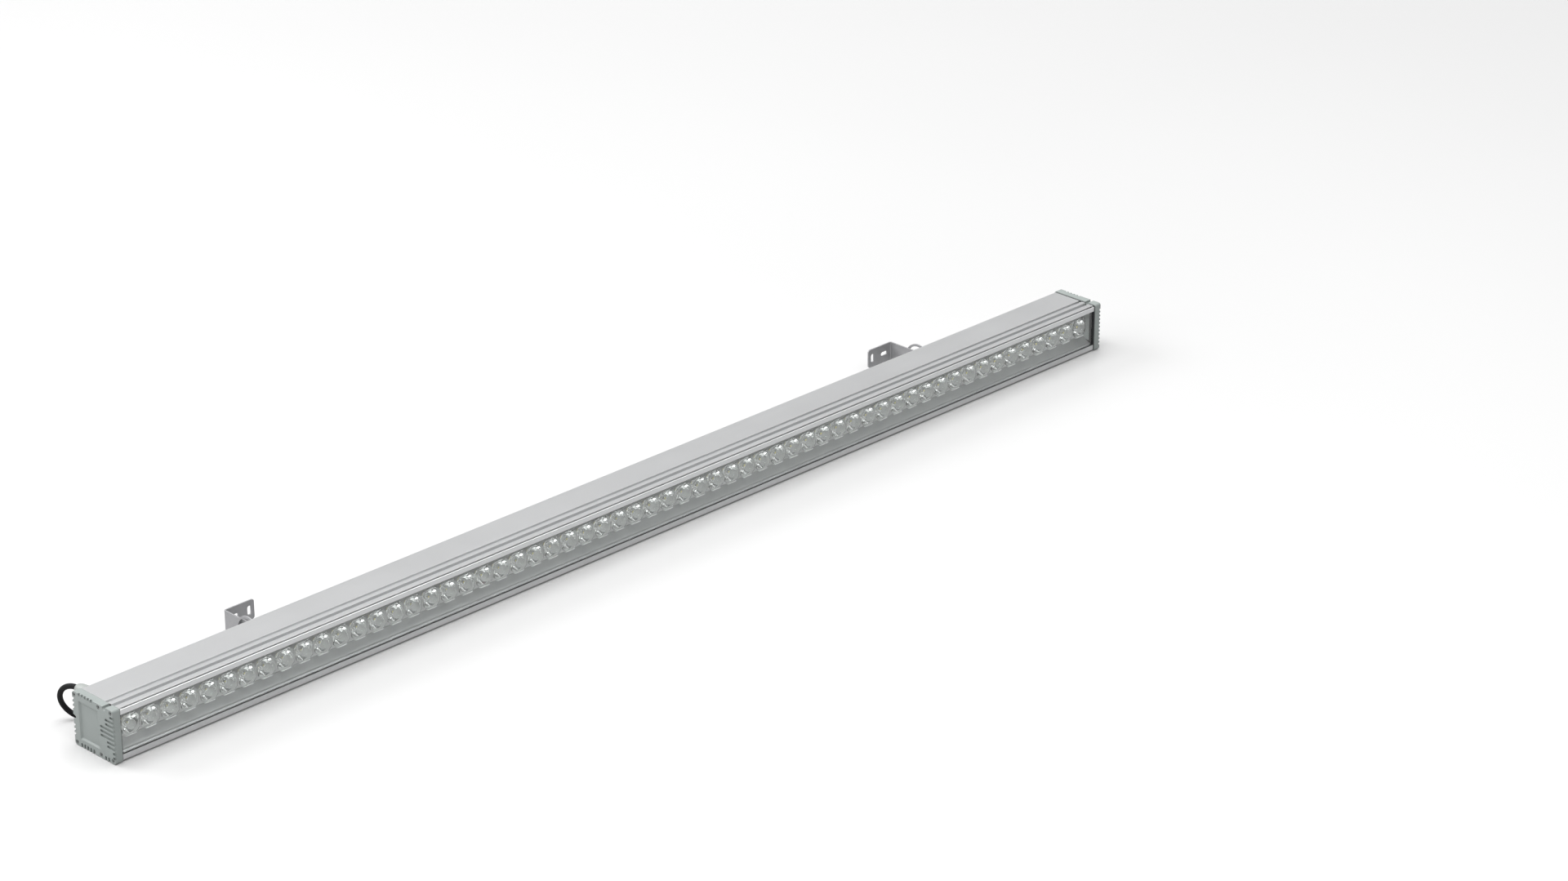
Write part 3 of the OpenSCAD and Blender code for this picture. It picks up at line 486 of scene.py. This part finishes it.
# A quarter turn of directions that keeps the plate's eight corners
CORNER_ANGLE = math.degrees(math.atan2(LENS_CUT, LENS_HALF))
QUARTER = [0.0, CORNER_ANGLE / 3, 2 * CORNER_ANGLE / 3, CORNER_ANGLE, 38.0, 45.0, 52.0,
           90 - CORNER_ANGLE, 90 - 2 * CORNER_ANGLE / 3, 90 - CORNER_ANGLE / 3]
ANGLES = [math.radians(q * 90 + a) for q in range(4) for a in QUARTER]


def plate_reach(angle):
    """Distance from the middle of a lens's plate to its edge."""
    c, s = abs(math.cos(angle)), abs(math.sin(angle))
    return min(LENS_HALF / max(c, s), (LENS_HALF + LENS_CUT) / (c + s))


# From the middle of the front face out, over the plate's edge and back along the cone to
# the middle of the well: (radius or inset from the plate's edge, depth)
LENS_PROFILE = [
    (0.0, 0.28), (1.2, 0.36), (2.4, 0.6), (3.5, 0.98), (4.1, 1.1), (4.7, 1.0), (5.1, 0.45),
    (5.3, 0.08), (5.6, 0.0), ("edge", 0.35, 0.0), ("edge", 0.08, 0.1), ("edge", 0.0, 0.35),
    ("edge", 0.0, 1.65), ("edge", 0.08, 1.9), ("edge", 0.35, 2.0), (9.9, 2.0), (9.55, 2.15),
    (9.2, 3.1), (8.7, 4.3), (8.0, 5.8), (7.2, 7.3), (6.3, 8.8), (5.4, 10.1), (4.6, 11.2),
    (4.35, 11.5), (4.1, 11.6), (3.15, 11.6), (2.9, 11.35), (2.8, 9.4), (2.65, 8.5),
    (2.2, 7.9), (1.4, 7.6), (0.0, 7.5),
]


def lens_mesh():
    """One lens with its front face at depth 0, as (x, depth, z) points and quads."""
    verts, faces, count = [], [], len(ANGLES)
    for row in LENS_PROFILE:
        for a in ANGLES:
            r = plate_reach(a) - row[1] if row[0] == "edge" else max(row[0], 0.02)
            verts.append(Vector((r * math.cos(a), row[-1], r * math.sin(a))))
    for i in range(len(LENS_PROFILE) - 1):
        faces += ring_faces((i + 1) * count, i * count, count)
    faces.append(tuple(range(count)))
    faces.append(tuple(reversed(range(len(verts) - count, len(verts)))))
    return verts, faces


def make_lenses():
    one, quads = lens_mesh()
    for node, (first, end) in LENS_GROUPS.items():
        verts, faces = [], []
        for i in range(first, end):
            start = len(verts)
            middle = at(LENS_X0 + i * LENS_PITCH, LENS_Y0, LENS_Z)
            verts += [middle + v * MM for v in one]
            faces += [tuple(start + k for k in face) for face in quads]
        lenses = new_piece(f"clear_{node}", verts, faces, "fixture", "clear_lens")
        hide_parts(node)


# The four corners of a face in order round it
AROUND = ((0, 0), (1, 0), (1, 1), (0, 1))


def bevelled_box(low, high, bevel):
    """A box with all its edges cut off by bevel, as points and faces."""
    verts, faces, index = [], [], {}
    for corner in range(8):
        pick = [(corner >> k) & 1 for k in range(3)]
        for axis in range(3):
            p = [(low, high)[pick[k]][k] + (0 if k == axis else (bevel, -bevel)[pick[k]])
                 for k in range(3)]
            index[corner, axis] = len(verts)
            verts.append(Vector(p))
    for axis in range(3):
        b, c = (axis + 1) % 3, (axis + 2) % 3
        for side in (0, 1):
            ring = [side << axis | i << b | j << c for i, j in AROUND]
            face = [index[k, axis] for k in ring]
            faces.append(face if side else face[::-1])
        for i, j in AROUND:
            k0, k1 = i << b | j << c, 1 << axis | i << b | j << c
            face = [index[k0, b], index[k1, b], index[k1, c], index[k0, c]]
            faces.append(face if i == j else face[::-1])
    for corner in range(8):
        face = [index[corner, axis] for axis in range(3)]
        faces.append(face if bin(corner).count("1") % 2 else face[::-1])
    return verts, faces


# Size of the painted highlight bars under each lens plate
GLINT_BAR_DROP = 0.75
GLINT_BAR_OUT = 0.5
GLINT_BAR_DEEP = 2.0
GLINT_BAR_BEVEL = 0.15


def make_lens_edge_glint_bars():
    """Near-white bars under the flat lower edge of each lens's plate: a painted highlight for the
    glint that this edge catches.
    """
    low = (-LENS_CUT, -GLINT_BAR_OUT, -LENS_HALF - GLINT_BAR_DROP)
    high = (LENS_CUT, GLINT_BAR_DEEP, -LENS_HALF)
    box, quads = bevelled_box(low, high, GLINT_BAR_BEVEL)
    verts, faces = [], []
    for i in range(LENS_GROUPS["lenses_right"][1]):
        start = len(verts)
        verts += [at(LENS_X0 + i * LENS_PITCH, LENS_Y0, LENS_Z) + v * MM for v in box]
        faces += [tuple(start + k for k in face) for face in quads]
    new_piece("lens_feet", verts, faces, "fixture", None, smooth=False)


make_lenses()
make_lens_edge_glint_bars()

# ---------------------------------------------------------------- dressing


def dress():
    """Gives each shown piece the material of its own name or else that of its slot."""
    slots = {part["node"]: part["material_slot"] for part in frame["record"]["subparts"]}
    for obj in bpy.context.scene.objects:
        if obj.type == "MESH":
            obj.data.materials.clear()
            slot = obj.get("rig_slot") or slots.get(obj.name)
            obj.data.materials.append(LOOKS.get(obj.name) or LOOKS[slot])


dress()

# ---------------------------------------------------------------- studio


FLOOR_HALF = 14.0
FLOOR_GAP = 0.0002
WORLD_STRENGTH = 0.34
LIGHT_BOUNCES = 20


def make_floor():
    t = Tree("studio_floor")
    clouds = t.noise(0.6, 2)
    material = t.plain(
        Base_Color=t.ramp(clouds, (0.3, (0.51, 0.51, 0.51)), (0.7, (0.53, 0.53, 0.53))),
        Roughness=0.3,
    )
    half = FLOOR_HALF
    corners = [(-half, -half, 0), (half, -half, 0), (half, half, 0), (-half, half, 0)]
    mesh = bpy.data.meshes.new("studio_floor")
    mesh.from_pydata(corners, [], [(0, 1, 2, 3)])
    mesh.materials.append(material)
    floor = bpy.data.objects.new("studio_floor", mesh)
    floor.location.z = -FLOOR_GAP
    bpy.context.scene.collection.objects.link(floor)


def make_lamp(name, place, target, size, power):
    data = bpy.data.lights.new(name, "AREA")
    data.shape = "RECTANGLE"
    data.size, data.size_y = size
    data.energy = power
    lamp = bpy.data.objects.new(name, data)
    lamp.location = place
    lamp.rotation_euler = (Vector(target) - Vector(place)).to_track_quat("-Z", "Y").to_euler()
    bpy.context.scene.collection.objects.link(lamp)


def make_world():
    world = bpy.data.worlds.new("studio")
    world.use_nodes = True
    background = world.node_tree.nodes["Background"]
    background.inputs["Color"].default_value = (1, 1, 1, 1)
    background.inputs["Strength"].default_value = WORLD_STRENGTH
    bpy.context.scene.world = world


make_floor()
make_world()
make_lamp("overhead", (0.5, 0.6, 5.5), (0.3, 0, 0), (6.0, 5.0), 470)
make_lamp("left", (-4.5, 1.2, 2.6), (0, 0, 0), (3.0, 2.4), 72)
make_lamp("behind", (-2.4, 4.6, 3.2), (0, 0, 0), (3.5, 2.2), 228)
make_lamp("front", (-2.2, -4.2, 4.2), (0, 0, 0), (3.0, 2.0), 147)
make_lamp("right", (5.2, 1.5, 4.0), (0.3, 0, 0), (3.0, 2.4), 21)
bpy.context.scene.view_settings.view_transform = "Standard"
# The lamps' light reaches the board through the glass and a lens, and back
bpy.context.scene.cycles.max_bounces = LIGHT_BOUNCES
bpy.context.scene.cycles.transmission_bounces = LIGHT_BOUNCES
